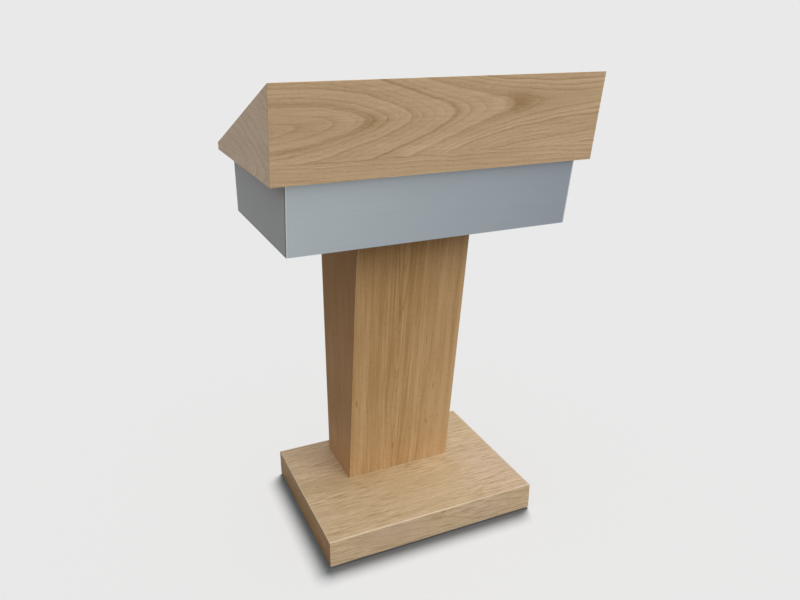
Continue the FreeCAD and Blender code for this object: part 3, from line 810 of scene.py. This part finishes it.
@dataclass(frozen=True)
class PlatedSteel(Finish):
    """Bright zinc plate with faint turning marks and clouding."""

    tint: Colour
    dull: Colour

    def coat(self, graph: Graph) -> None:
        """Cloud the plate and mark it with turning.

        Args:
            graph: The material's empty nodes.
        """
        cloud = graph.speckle((160.0, 160.0, 160.0), 3.0, 0.6)
        turning = graph.speckle((60.0, 60.0, 2500.0))
        graph.surface({
            "Base Color": graph.mix(cloud.between(0.35, 0.7), self.tint, self.dull),
            "Metallic": 1.0,
            "Roughness": 0.28 + cloud * 0.16,
            "Normal": graph.bump(turning * 0.6 + cloud * 0.4, 0.03 * MM),
        })


@dataclass(frozen=True)
class MouldedPlastic(Finish):
    """Matt moulded plastic with a fine spark texture and light scuffs."""

    tint: Colour
    worn: Colour

    def coat(self, graph: Graph) -> None:
        """Grain the plastic and scuff it.

        Args:
            graph: The material's empty nodes.
        """
        grain = graph.speckle((1600.0, 1600.0, 1600.0), 2.0, 0.6)
        scuff = graph.speckle((90.0, 700.0, 200.0)).between(0.58, 0.75)
        graph.surface({
            "Base Color": graph.mix(scuff * 0.6, self.tint, self.worn),
            "Roughness": 0.5 + grain * 0.15 - scuff * 0.1,
            "Normal": graph.bump(grain, 0.05 * MM),
        })


class Edge(Enum):
    """How far the sharp edges of a piece are eased, in metres."""

    SHEET = 0.15 * MM
    BOARD = 0.5 * MM
    STRIP = 0.8 * MM
    METAL = 0.25 * MM


WELD_REACH = 0.01 * MM
SHARP_ANGLE = math.radians(30.0)
EASING_STEPS = 2


def ease_edges(node: str, edge: Edge) -> None:
    """Round a piece's sharp edges slightly, without touching its own mesh.

    Args:
        node: The piece's name.
        edge: How far its edges are eased.
    """
    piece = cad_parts[node]
    weld = piece.modifiers.new("weld", "WELD")
    weld.merge_threshold = WELD_REACH
    bevel = piece.modifiers.new("eased edges", "BEVEL")
    bevel.width = edge.value
    bevel.segments = EASING_STEPS
    bevel.limit_method = "ANGLE"
    bevel.angle_limit = SHARP_ANGLE
    flat = piece.modifiers.new("flat faces", "WEIGHTED_NORMAL")
    flat.mode = "FACE_AREA"


def dress(finish: Finish, nodes: Sequence[str]) -> None:
    """Give pieces a finish.

    Args:
        finish: The finish.
        nodes: Names of the pieces.
    """
    material = finish.material()
    for node in nodes:
        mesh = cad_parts[node].data
        mesh.materials.clear()
        mesh.materials.append(material)
        LOG.info("%s: %s", node, finish.name)


HEAD_OAK = oak_tones(196, 168, 132)
# The head's sides: a paler, greyer copy of the head's oak, painting in cool light on the sides
HEAD_SIDE_COOL_LIT_OAK = oak_tones(198, 174, 147)
COLUMN_OAK = oak_tones(180, 144, 98)
COLUMN_SIDE_OAK = oak_tones(188, 145, 99)
BASE_OAK = oak_tones(196, 171, 134)
BASE_FRONT_OAK = oak_tones(192, 168, 135)
# The base's end rails: a darker, warmer copy of the base's oak, painting in their shade and the warm
# light thrown onto them
BASE_SIDE_SHADED_OAK = oak_tones(181, 144, 100)
# Pale line along the arrises: partly the sanded edge, partly a painted highlight
SANDED_EDGE_HIGHLIGHT = paint(252, 233, 203)
SOFTWOOD_TONES = (paint(222, 197, 152), paint(183, 140, 88))
RAW_TONES = (paint(176, 143, 104), paint(140, 108, 74))


@dataclass
class Head:
    """The wedge-shaped head: front, sides, floor, rear strip and reading board."""

    half_width: float
    foot: float
    top: float
    front: float
    rear: float
    leaf_seam: float = 0.159
    board_seam: float = 0.26

    @classmethod
    def measured(cls) -> "Head":
        """Take the sizes from the construction.

        Returns:
            The head.
        """
        low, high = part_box("head_front_panel")
        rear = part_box("head_rear_lipping")[1].y
        return cls(half_width=CAD_BOX[1].x, foot=low.z, top=high.z, front=low.y, rear=rear)

    def build(self) -> None:
        """Ease the edges of the boards and strips."""
        for name in ("front_panel", "left_panel", "right_panel", "floor_board"):
            ease_edges(f"head_{name}", Edge.BOARD)
        ease_edges("reading_board", Edge.BOARD)
        for node in ("head_rear_lipping", "paper_stop", "reading_batten_left", "reading_batten_right"):
            ease_edges(node, Edge.STRIP)

    def dress(self) -> None:
        """Veneer the boards, each from its own leaves."""
        self._dress_front()
        self._dress_sides()
        self._dress_reading_board()
        corner = (-self.half_width, self.rear, self.foot)
        narrow = Leaf(spacing=0.006, wander=0.003)
        strips = Oak("oak_strips", Face(corner, RIGHT, UP), COLUMN_OAK, (narrow,), seed=5.0)
        dress(strips, ["head_rear_lipping", "paper_stop"])
        wide = Leaf(spacing=0.014)
        floor = Oak("oak_head_floor", Face(corner, RIGHT, FORWARD), HEAD_OAK, (wide,), seed=6.0)
        dress(floor, ["head_floor_board"])
        battens = Softwood("softwood_reading_battens", Face(ORIGIN, FORWARD, UP), *SOFTWOOD_TONES)
        dress(battens, ["reading_batten_left", "reading_batten_right"])

    def _dress_front(self) -> None:
        """A crown-cut leaf over a narrow straight one, the crown's arches pointing to the right."""
        crown = Leaf(
            Cut.CROWN, spine=0.090, drift=-0.05, spacing=0.030, heart=0.028,
            arches=4.4, arch_place=0.322, ripple=0.009,
        )
        straight = Leaf(spine=-0.05, drift=0.03, spacing=0.010, wander=0.012, ripple=0.008)
        marks = (
            Patch(along=0.562, across=0.056, length=0.132, width=0.072, strength=0.40),
            Patch(along=0.214, across=0.082, length=0.1, width=0.052, strength=0.16),
            Patch(along=0.470, across=0.052, length=0.1, width=0.032, strength=0.18),
            Patch(along=0.080, across=0.080, length=0.52, width=0.32, strength=0.12),
        )
        calm = (
            Patch(along=0.06, across=0.075, length=0.44, width=0.17, strength=0.5),
            Patch(along=0.38, across=0.080, length=0.4, width=0.3, strength=0.25),
        )
        face = Face((-self.half_width, self.front, self.top), RIGHT, DOWN_FRONT)
        finish = Oak(
            "oak_head_front", face, HEAD_OAK, (crown, straight), seam=self.leaf_seam, seed=1.0,
            contrast=1.28, streaks=0.08, patches=marks, calm=calm,
        )
        dress(finish, ["head_front_panel"])

    def _dress_sides(self) -> None:
        """Grain from rear to front, with low arches."""
        leaf = Leaf(
            Cut.CROWN, spine=0.180, spacing=0.024, heart=0.020,
            arches=5.0, arch_place=0.44, arch_spread=0.09, wander=0.012, ripple=0.008,
        )
        for side, x, seed in (("left", -self.half_width, 2.0), ("right", self.half_width, 3.0)):
            face = Face((x, self.rear, self.top), FORWARD, DOWN)
            # The sides take a paler, greyer copy of the front's tone: painted cool light
            finish = Oak(
                f"oak_head_{side}", face, HEAD_SIDE_COOL_LIT_OAK, (leaf,), seed=seed, contrast=0.75, streaks=0.06,
            )
            dress(finish, [f"head_{side}_panel"])

    def _dress_reading_board(self) -> None:
        """Two crown-cut leaves side by side."""
        lower = Leaf(
            Cut.CROWN, spine=0.13, drift=0.02, spacing=0.030, heart=0.03,
            arches=5.0, arch_place=0.35, arch_spread=0.12,
        )
        upper = Leaf(
            Cut.CROWN, spine=0.39, drift=-0.01, spacing=0.028, heart=0.03,
            arches=5.5, arch_place=0.42, arch_spread=0.13,
        )
        face = Face((-self.half_width, self.rear, self.foot), RIGHT, UP_SLOPE)
        finish = Oak(
            "oak_reading_board", face, HEAD_OAK, (lower, upper), seam=self.board_seam, seed=4.0,
            streaks=0.08,
        )
        dress(finish, ["reading_board"])


@dataclass
class ShelfBox:
    """The silver box with its shelf, open at the rear."""

    half_width: float
    foot: float
    front_foot: float
    line: float = 2.6 * MM
    core_line: float = 7.0 * MM
    core_end: float = 0.2 * MM
    front_tint: Colour = paint(166, 174, 181)
    # The side sheets: a darker, greyer tint than the front, partly painted shade on the sides
    shaded_side_tint: Colour = paint(157, 158, 158)
    # Painted highlight along the front sheet's upright edges
    edge_highlight: Colour = paint(214, 219, 222)
    core: Colour = paint(58, 56, 54)

    @classmethod
    def measured(cls) -> "ShelfBox":
        """Take the sizes from the construction.

        Returns:
            The box.
        """
        low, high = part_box("box_front_laminate")
        lean_run = (high.z - low.z) * math.tan(FRONT_LEAN)
        return cls(half_width=high.x, foot=low.z, front_foot=low.y + lean_run)

    def build(self) -> None:
        """Ease the edges of the sheets, boards and cleats."""
        for side in ("front", "left", "right"):
            ease_edges(f"box_{side}_laminate", Edge.SHEET)
            ease_edges(f"box_{side}_panel", Edge.BOARD)
            ease_edges(f"box_cleat_{side}", Edge.STRIP)
        ease_edges("box_floor_panel", Edge.BOARD)

    def dress(self) -> None:
        """Silver outside, grey board inside, softwood cleats."""
        self._dress_front()
        self._dress_sides()
        grey = PressedBoard("grey_board", paint(150, 152, 153), paint(132, 134, 135), 0.55, 0.05 * MM)
        dress(grey, [f"box_{name}_panel" for name in ("front", "left", "right", "floor")])
        sides = Softwood("softwood_side_cleats", Face(ORIGIN, FORWARD, UP), *SOFTWOOD_TONES)
        dress(sides, ["box_cleat_left", "box_cleat_right"])
        front = Softwood("softwood_front_cleat", Face(ORIGIN, RIGHT, UP), *SOFTWOOD_TONES)
        dress(front, ["box_cleat_front"])

    def _dress_front(self) -> None:
        """Painted highlights along the two upright edges, the sheet's dark core at its very ends, and a
        painted sheen fading to the right.
        """
        ends = []
        for side in (LEFT, RIGHT):
            # A painted highlight just inside each upright edge, then the dark core at the very end
            ends.append(EdgeLine(side, self.half_width - self.line, self.edge_highlight, 0.5))
            ends.append(EdgeLine(side, self.half_width - self.core_end, self.core, 1.0))
        # fade paints a sheen that is lighter at the left end and duller to the right
        sheet = Laminate(
            "silver_front", Face(ORIGIN, RIGHT, DOWN_FRONT), self.front_tint,
            fade=0.9, fade_length=2 * self.half_width, edges=tuple(ends),
        )
        dress(sheet, ["box_front_laminate"])

    def _dress_sides(self) -> None:
        """A dark line where the front sheet's core meets the side, and along the foot."""
        front_normal = (0.0, -math.cos(FRONT_LEAN), -math.sin(FRONT_LEAN))
        front_plane = Vector(front_normal).dot((0.0, self.front_foot, self.foot))
        lines = (
            EdgeLine(front_normal, front_plane - self.core_line, self.core, 0.75),
            EdgeLine(DOWN, -(self.foot + self.line), self.core, 0.6),
        )
        # The side sheets are a darker, duller copy of the silver sheet, partly painted shade
        sheet = Laminate(
            "silver_sides", Face(ORIGIN, FORWARD, DOWN), self.shaded_side_tint,
            metallic=0.0, gloss=0.04, edges=lines,
        )
        dress(sheet, ["box_left_laminate", "box_right_laminate"])


@dataclass
class Column:
    """The hollow column: four veneered boards, end plates and corner battens."""

    half_width: float
    top: float
    front_top: float
    rear: float
    leaf_seam: float = 0.226
    rear_seam: float = 0.20

    @classmethod
    def measured(cls) -> "Column":
        """Take the sizes from the construction.

        Returns:
            The column.
        """
        low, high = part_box("column_front_panel")
        half_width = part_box("column_right_panel")[1].x
        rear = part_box("column_rear_panel")[1].y
        return cls(half_width=half_width, top=high.z, front_top=low.y, rear=rear)

    def build(self) -> None:
        """Ease the edges of the boards."""
        for side in ("front", "left", "right", "rear"):
            ease_edges(f"column_{side}_panel", Edge.BOARD)

    def dress(self) -> None:
        """Upright grain on all four sides, plain boards and softwood inside."""
        self._dress_front()
        self._dress_sides()
        self._dress_rear()
        battens = Softwood("softwood_column_battens", Face(ORIGIN, UP, RIGHT), *SOFTWOOD_TONES)
        corners = ("front_left", "front_right", "rear_left", "rear_right")
        dress(battens, [f"column_batten_{corner}" for corner in corners])
        core = PressedBoard("raw_board_column", *RAW_TONES, 0.75, 0.15 * MM)
        dress(core, ["column_foot_plate", "column_head_plate"])

    def _dress_front(self) -> None:
        """A long crown whose arches point down, beside a plain paler leaf, with a few dark flecks."""
        crown = Leaf(
            Cut.CROWN, spine=0.130, spacing=0.011, heart=0.012,
            arches=7.4, arch_place=0.37, arch_spread=0.4, wander=0.007,
        )
        plain = Leaf(spine=-0.2, spacing=0.022, wander=0.006)
        flecks = (
            Patch(along=0.493, across=0.014, length=0.032, width=0.007, strength=0.9),
            Patch(along=0.485, across=0.243, length=0.028, width=0.006, strength=0.8),
            Patch(along=0.327, across=0.210, length=0.044, width=0.007, strength=0.6),
            Patch(along=0.607, across=0.230, length=0.04, width=0.016, strength=0.3),
            Patch(along=0.450, across=0.155, length=2.4, width=0.2, strength=0.17),
            Patch(along=0.400, across=0.280, length=6.0, width=0.15, strength=-0.20),
        )
        calm = (
            Patch(along=0.40, across=0.018, length=6.0, width=0.088, strength=0.7),
            Patch(along=0.60, across=0.236, length=1.4, width=0.092, strength=0.8),
            Patch(along=0.40, across=0.270, length=6.0, width=0.052, strength=0.6),
            Patch(along=0.216, across=0.130, length=0.12, width=0.018, strength=0.7),
            Patch(along=0.220, across=0.205, length=0.5, width=0.18, strength=0.25),
        )
        face = Face((-self.half_width, self.front_top, self.top), DOWN_FRONT, RIGHT)
        # fade paints the shade under the box: the front is darker at the top and paler downwards
        finish = Oak(
            "oak_column_front", face, COLUMN_OAK, (crown, plain), seam=self.leaf_seam, seed=7.0,
            contrast=0.8, streaks=0.9, fade=0.25, patches=flecks, calm=calm,
        )
        dress(finish, ["column_front_panel"])

    def _dress_sides(self) -> None:
        """Straight leaves with painted shade, darkest at the top under the box and again above a foot
        made paler by a painted reflection of the base top.
        """
        # Painted shade above the foot, and a painted reflection of the lit base top that makes the foot
        # paler
        foot = (
            Patch(along=0.56, across=0.08, length=0.28, width=0.6, strength=0.20),
            Patch(along=0.78, across=0.16, length=0.52, width=0.48, strength=-0.35),
        )
        for side, x, seed in (("left", -self.half_width, 8.0), ("right", self.half_width, 9.0)):
            face = Face((x, self.rear, self.top), DOWN, FORWARD)
            # start and fade paint the shade under the box: darkest at the top, paler downwards
            finish = Oak(
                f"oak_column_{side}", face, COLUMN_SIDE_OAK, (Leaf(spacing=0.011),), seed=seed,
                contrast=0.8, streaks=0.15, start=0.74, fade=1.05, gloss=0.03, patches=foot,
            )
            dress(finish, [f"column_{side}_panel"])

    def _dress_rear(self) -> None:
        """A crown-cut leaf beside a straight one."""
        crown = Leaf(
            Cut.CROWN, spine=0.11, drift=0.01, spacing=0.014, heart=0.012,
            arches=8.0, arch_place=0.4, arch_spread=0.25,
        )
        leaves = (crown, Leaf(spacing=0.012))
        face = Face((self.half_width, self.rear, self.top), DOWN, LEFT)
        finish = Oak("oak_column_rear", face, COLUMN_OAK, leaves, seam=self.rear_seam, seed=10.0)
        dress(finish, ["column_rear_panel"])


@dataclass
class Base:
    """The flat base: top board, four rails, core boards and glides."""

    half_width: float
    top: float
    front: float
    rear: float
    top_seam: float = 0.27
    arris: float = 3.2 * MM

    @classmethod
    def measured(cls) -> "Base":
        """Take the sizes from the construction.

        Returns:
            The base.
        """
        half_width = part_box("base_right_rail")[1].x
        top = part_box("base_top_board")[1].z
        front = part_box("base_front_rail")[0].y
        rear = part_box("base_rear_rail")[1].y
        return cls(half_width=half_width, top=top, front=front, rear=rear)

    def build(self) -> None:
        """Ease the edges of the boards and glides."""
        for side in ("front", "left", "right", "rear"):
            ease_edges(f"base_{side}_rail", Edge.BOARD)
        ease_edges("base_top_board", Edge.BOARD)
        ease_edges("floor_glides", Edge.METAL)

    def dress(self) -> None:
        """Grain along the length of each board, pale along the sanded edges, partly a painted highlight.
        """
        self._dress_top()
        self._dress_rails()
        core = PressedBoard("raw_board_base", *RAW_TONES, 0.75, 0.15 * MM)
        dress(core, ["base_core_upper", "base_core_lower"])
        dress(MouldedPlastic("black_glides", paint(38, 38, 39), paint(70, 69, 67)), ["floor_glides"])

    def _dress_top(self) -> None:
        """Straight open-pored leaves, partly rosy, with a painted shadow about the column and pale,
        partly painted highlights along the edges.
        """
        # Pale lines along the arrises, partly sanded edge and partly painted highlight, strongest at the
        # front where the light falls
        lines = (
            EdgeLine(FORWARD, -self.front - self.arris, SANDED_EDGE_HIGHLIGHT, 0.8),
            EdgeLine(BACK, self.rear - self.arris, SANDED_EDGE_HIGHLIGHT, 0.3),
            EdgeLine(LEFT, self.half_width - self.arris, SANDED_EDGE_HIGHLIGHT, 0.2),
            EdgeLine(RIGHT, self.half_width - self.arris, SANDED_EDGE_HIGHLIGHT, 0.2),
        )
        rosy = (
            Patch(along=0.06, across=0.08, length=0.36, width=0.44, strength=0.5),
            Patch(along=0.56, across=0.34, length=0.36, width=0.48, strength=0.65),
            Patch(along=0.00, across=0.36, length=0.16, width=0.32, strength=0.4),
        )
        # Painted shadow of the column and head, darker beside and in front of the column
        shade = (Patch(along=0.18, across=0.22, length=0.64, width=0.34, strength=0.30),)
        calm = (Patch(along=0.30, across=0.37, length=0.36, width=0.3, strength=0.55),)
        leaves = (Leaf(spacing=0.021, wander=0.014), Leaf(spacing=0.026, wander=0.014))
        face = Face((-self.half_width, self.rear, self.top), RIGHT, FORWARD)
        finish = Oak(
            "oak_base_top", face, BASE_OAK, leaves, seam=self.top_seam, seed=12.0,
            contrast=0.3, streaks=0.06, dashes=0.95, start=0.42, fade=0.34,
            patches=shade, calm=calm, rosy=rosy, edges=lines,
        )
        dress(finish, ["base_top_board"])

    def _dress_rails(self) -> None:
        """One strip of veneer round the edge of the base, with a knot in front."""
        leaf = Leaf(spine=-0.30, drift=0.20, spacing=0.022, wander=0.020, ripple=0.010)
        # A pale line along the rails' top arris, partly sanded edge and partly painted highlight
        line = EdgeLine(UP, self.top - self.arris / 2, SANDED_EDGE_HIGHLIGHT, 0.9)
        knot = (
            Patch(along=0.318, across=0.007, length=0.028, width=0.012, strength=0.9),
            Patch(along=0.302, across=0.018, length=0.068, width=0.036, strength=0.4),
        )
        rosy = (
            Patch(along=0.18, across=0.02, length=0.28, width=0.1, strength=0.5),
            Patch(along=0.44, across=0.03, length=0.2, width=0.1, strength=0.4),
        )
        # The left and right rails take the darker, warmer copy, which paints their shade
        for side, corner, along, tones, seed in (
            ("front", (-self.half_width, self.front, self.top), RIGHT, BASE_FRONT_OAK, 13.0),
            ("rear", (self.half_width, self.rear, self.top), LEFT, BASE_FRONT_OAK, 14.0),
            ("left", (-self.half_width, self.rear, self.top), FORWARD, BASE_SIDE_SHADED_OAK, 15.0),
            ("right", (self.half_width, self.front, self.top), BACK, BASE_SIDE_SHADED_OAK, 16.0),
        ):
            finish = Oak(
                f"oak_base_{side}", Face(corner, along, DOWN), tones, (leaf,), seed=seed,
                contrast=0.85, streaks=0.06, dashes=0.75,
                patches=knot if side == "front" else (), rosy=rosy, edges=(line,),
            )
            dress(finish, [f"base_{side}_rail"])


@dataclass
class Fixings:
    """Screws, bolts, washers and insert nuts."""

    nodes: tuple[str, ...] = (
        "base_coach_screws", "base_washers", "box_bolts", "box_insert_nuts", "cleat_screws",
    )

    def build(self) -> None:
        """Ease the edges of the metal."""
        for node in self.nodes:
            ease_edges(node, Edge.METAL)

    def dress(self) -> None:
        """Zinc plate on all of them."""
        dress(PlatedSteel("zinc_plate", paint(205, 207, 208), paint(168, 171, 173)), self.nodes)


@dataclass(frozen=True)
class Sun:
    """A broad light: the way to it, its level on a face square to it, its width in degrees, its tint."""

    name: str
    towards: Triple
    level: float
    spread: float
    tint: Triple = (1.0, 1.0, 1.0)

    def build(self, lit: Pieces, shading: Optional[Pieces] = None) -> None:
        """Hang the light.

        Args:
            lit: What it shines on.
            shading: What casts a shadow in it; everything, where none is given.
        """
        lamp = bpy.data.lights.new(self.name, "SUN")
        lamp.energy = self.level * math.pi
        lamp.angle = math.radians(self.spread)
        lamp.color = self.tint
        holder = bpy.data.objects.new(self.name, lamp)
        holder.rotation_euler = Vector(self.towards).to_track_quat("Z", "Y").to_euler()
        bpy.context.scene.collection.objects.link(holder)
        holder.light_linking.receiver_collection = self._group("lit", lit)
        if shading is not None:
            holder.light_linking.blocker_collection = self._group("shading", shading)

    def _group(self, use: str, pieces: Pieces) -> bpy.types.Collection:
        """Gather pieces for the light.

        Args:
            use: What the light does with them.
            pieces: The pieces.

        Returns:
            A collection of them.
        """
        group = bpy.data.collections.new(f"{self.name}_{use}")
        for piece in pieces:
            group.objects.link(piece)
        return group

    def on_floor(self) -> Triple:
        """Red, green and blue level on a level face."""
        return tuple(self.level * Vector(self.towards).normalized().z * part for part in self.tint)


EYE_RAYS = ("Camera", "Glossy", "Transmission")


@dataclass
class Studio:
    """A pale floor, soft light and the camera."""

    pale: Colour = paint(233, 233, 233)
    bounce: Colour = paint(99, 100, 102)
    ambient: float = 0.26
    floor_size: float = 60.0
    front_light: Sun = Sun("front_light", (0.10, -0.70, 0.70), 0.78, 60.0)
    top_light: Sun = Sun("top_light", (0.25, 0.10, 0.95), 0.20, 60.0)
    left_light: Sun = Sun("left_light", (-0.75, -0.05, 0.66), 0.20, 40.0, (0.92, 0.97, 1.08))
    right_light: Sun = Sun("right_light", (0.75, 0.05, 0.66), 0.20, 40.0)
    floor_light: Sun = Sun("floor_light", (0.39, 0.45, 1.0), 1.86, 32.0, (1.15, 1.0, 0.86))
    floor_fill: Sun = Sun("floor_fill", UP, 0.06, 20.0, (1.15, 1.0, 0.82))
    camera_place: Triple = (-0.7374, -1.6233, 1.2894)
    camera_turn: float = math.radians(24.418)
    camera_dip: float = math.radians(21.203)
    camera_lens: float = 32.599
    camera_sensor: float = 36.0

    def build(self) -> None:
        """Make the floor, the lights and the camera."""
        floor = self._floor()
        for light in (self.front_light, self.top_light):
            light.build(list(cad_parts.values()))
        for light in (self.left_light, self.right_light):
            light.build(self._named("head_") + self._named("box_"))
        self.floor_light.build([floor], self._named("base_"))
        self.floor_fill.build([floor], [floor])
        self._world()
        self._camera()

    @staticmethod
    def _named(start: str) -> list[bpy.types.Object]:
        """The pieces whose names start alike."""
        return [piece for name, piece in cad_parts.items() if name.startswith(start)]

    @staticmethod
    def _seen(graph: Graph) -> Scalar:
        """One for rays from the eye, also after a reflection or through glass; else zero."""
        rays = graph.node("ShaderNodeLightPath").outputs
        return sum(Scalar(graph, rays[f"Is {kind} Ray"]) for kind in EYE_RAYS) > 0.5

    def _floor(self) -> bpy.types.Object:
        """A wide pale floor that keeps the shadow and throws little light back.

        Returns:
            The floor.
        """
        mesh = bpy.data.meshes.new("floor")
        shape = bmesh.new()
        bmesh.ops.create_grid(shape, x_segments=1, y_segments=1, size=self.floor_size / 2)
        shape.to_mesh(mesh)
        shape.free()
        floor = bpy.data.objects.new("floor", mesh)
        bpy.context.scene.collection.objects.link(floor)
        material = bpy.data.materials.new("studio_floor")
        material.use_nodes = True
        graph = Graph(material.node_tree)
        suns = zip(self.floor_light.on_floor(), self.floor_fill.on_floor())
        lit = (self.ambient + strong + weak for strong, weak in suns)
        own = tuple(seen / light for seen, light in zip(self.pale, lit)) + (1.0,)
        shown = graph.node("ShaderNodeBsdfDiffuse", None, {"Color": own})
        thrown = graph.node("ShaderNodeBsdfDiffuse", None, {"Color": self.bounce})
        sockets = {0: self._seen(graph), 1: thrown.outputs[0], 2: shown.outputs[0]}
        both = graph.node("ShaderNodeMixShader", None, sockets)
        graph.node("ShaderNodeOutputMaterial", None, {"Surface": both.outputs[0]})
        mesh.materials.append(material)
        return floor

    def _world(self) -> None:
        """Even light from all round, with the floor's own colour behind."""
        world = bpy.data.worlds.new("studio")
        world.use_nodes = True
        graph = Graph(world.node_tree)
        dim = (self.ambient, self.ambient, self.ambient, 1.0)
        colour = graph.mix(self._seen(graph), dim, self.pale)
        background = graph.node("ShaderNodeBackground", None, {"Color": colour})
        graph.node("ShaderNodeOutputWorld", None, {"Surface": background.outputs[0]})
        bpy.context.scene.world = world

    def _camera(self) -> None:
        """The camera at the photograph's angle."""
        data = bpy.data.cameras.new("camera")
        data.lens = self.camera_lens
        data.sensor_width = self.camera_sensor
        camera = bpy.data.objects.new("camera", data)
        camera.location = self.camera_place
        camera.rotation_euler = (math.pi / 2 - self.camera_dip, 0.0, -self.camera_turn)
        bpy.context.scene.collection.objects.link(camera)
        bpy.context.scene.camera = camera


def main() -> None:
    """Dress the lectern and set up the studio."""
    logging.basicConfig(level=logging.INFO, format="%(name)s %(message)s")
    bpy.context.scene.view_settings.view_transform = "Standard"
    lectern = (Head.measured(), ShelfBox.measured(), Column.measured(), Base.measured(), Fixings())
    for assembly in lectern:
        assembly.build()
        assembly.dress()
    Studio().build()


if __name__ == "__main__":
    main()
